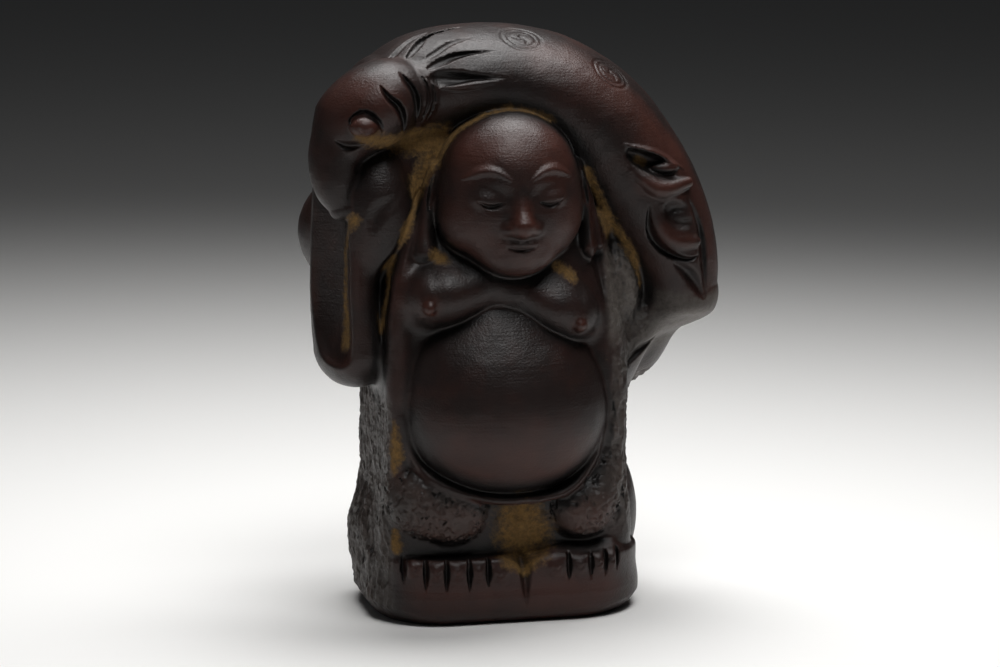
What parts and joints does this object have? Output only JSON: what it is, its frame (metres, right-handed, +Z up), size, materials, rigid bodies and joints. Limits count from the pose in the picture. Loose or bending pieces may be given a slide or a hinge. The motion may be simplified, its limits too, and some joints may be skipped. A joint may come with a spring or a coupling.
{
  "type": "budai figure",
  "caption": "Small moulded stoneware ornament of a stout barefoot monk on a low rounded base, swinging a big cloth sack over the head.",
  "frame": {"origin": "centre of the bounding box, on the ground under the base", "axes": "+Z up, the figure faces -Y, and +X is at the right of a viewer who looks it in the face"},
  "size_m": [0.0578, 0.038, 0.0797],
  "materials": {
    "stoneware": "satin"
  },
  "bodies": {
    "root": {"figure": "stoneware"}
  },
  "joints": []
}
